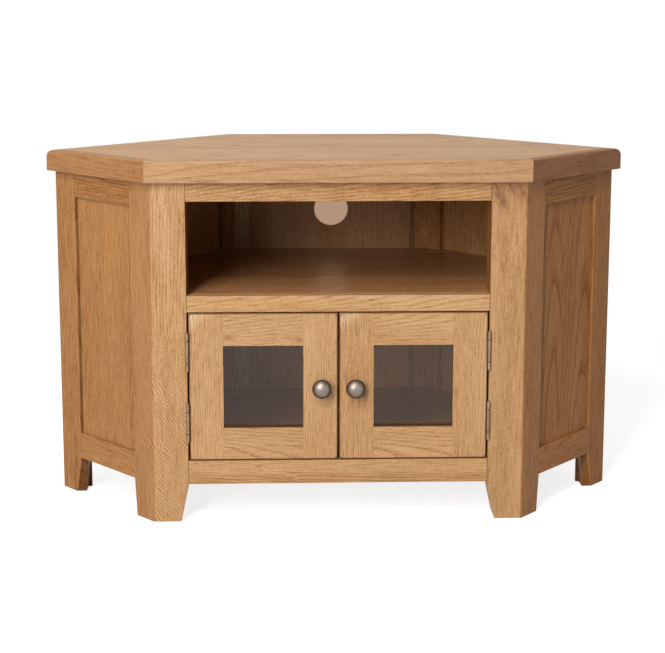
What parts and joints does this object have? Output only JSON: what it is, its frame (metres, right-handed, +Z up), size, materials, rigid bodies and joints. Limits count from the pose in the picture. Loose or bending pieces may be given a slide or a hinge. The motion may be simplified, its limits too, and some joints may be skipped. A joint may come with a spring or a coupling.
{
  "type": "corner tv cabinet",
  "caption": "Oak corner television cabinet with angled sides and back, an open bay with a cable hole over a cupboard, and hinged glazed doors with metal knobs.",
  "frame": {"origin": "centre of the overall box, on the floor under the cabinet", "axes": "+X along the front to the viewer's right, +Y from the front to the back, +Z up"},
  "size_m": [1.0068, 0.496, 0.612],
  "materials": {
    "oak_post": "satin lacquer",
    "oak_rail": "satin lacquer",
    "oak_top": "satin lacquer",
    "oak_panel": "satin lacquer",
    "oak_board": "satin lacquer",
    "glass": "clear",
    "pewter": "brushed pewter",
    "aged_metal": "antique brown",
    "screw_steel": "zinc plated",
    "catch_plastic": "moulded brown"
  },
  "bodies": {
    "cabinet": {"back_bottom_rail": "oak_rail", "back_panel": "oak_panel", "back_top_rail": "oak_rail", "bottom_rail": "oak_rail", "door_catches": "catch_plastic", "floor_board": "oak_board", "floor_cleat_left": "oak_board", "floor_cleat_right": "oak_board", "front_top_rail": "oak_rail", "hinge_leaves_left": "aged_metal", "hinge_leaves_right": "aged_metal", "hinge_pins_left": "aged_metal", "hinge_pins_right": "aged_metal", "leg_back_left": "oak_post", "leg_back_right": "oak_post", "leg_front_left": "oak_post", "leg_front_right": "oak_post", "leg_rear_left": "oak_post", "leg_rear_right": "oak_post", "shelf_board": "oak_board", "shelf_cleat_left": "oak_board", "shelf_cleat_right": "oak_board", "shelf_rail": "oak_rail", "side_bottom_rail_left": "oak_rail", "side_bottom_rail_right": "oak_rail", "side_panel_left": "oak_panel", "side_panel_right": "oak_panel", "side_top_rail_left": "oak_rail", "side_top_rail_right": "oak_rail", "small_screws": "screw_steel", "top_panel": "oak_top", "wall_bottom_rail_left": "oak_rail", "wall_bottom_rail_right": "oak_rail", "wall_panel_left": "oak_panel", "wall_panel_right": "oak_panel", "wall_top_rail_left": "oak_rail", "wall_top_rail_right": "oak_rail", "wood_screws": "screw_steel"},
    "door_left": {"door_left_bottom_rail": "oak_rail", "door_left_glass": "glass", "door_left_glazing_beads": "oak_rail", "door_left_hinge_leaves": "aged_metal", "door_left_hinge_stile": "oak_post", "door_left_knob": "pewter", "door_left_knob_screw": "screw_steel", "door_left_knob_stile": "oak_post", "door_left_screws": "screw_steel", "door_left_strike_plate": "screw_steel", "door_left_top_rail": "oak_rail"},
    "door_right": {"door_right_bottom_rail": "oak_rail", "door_right_glass": "glass", "door_right_glazing_beads": "oak_rail", "door_right_hinge_leaves": "aged_metal", "door_right_hinge_stile": "oak_post", "door_right_knob": "pewter", "door_right_knob_screw": "screw_steel", "door_right_knob_stile": "oak_post", "door_right_screws": "screw_steel", "door_right_strike_plate": "screw_steel", "door_right_top_rail": "oak_rail"}
  },
  "joints": [
    {"name": "door_left_hinge", "type": "hinge", "parent": "cabinet", "child": "door_left", "pos_m": [-0.2505, -0.224, 0.232], "axis": [0, 0, -1], "range_deg": [0, 170]},
    {"name": "door_right_hinge", "type": "hinge", "parent": "cabinet", "child": "door_right", "pos_m": [0.2505, -0.224, 0.232], "axis": [0, 0, 1], "range_deg": [0, 170]}
  ]
}
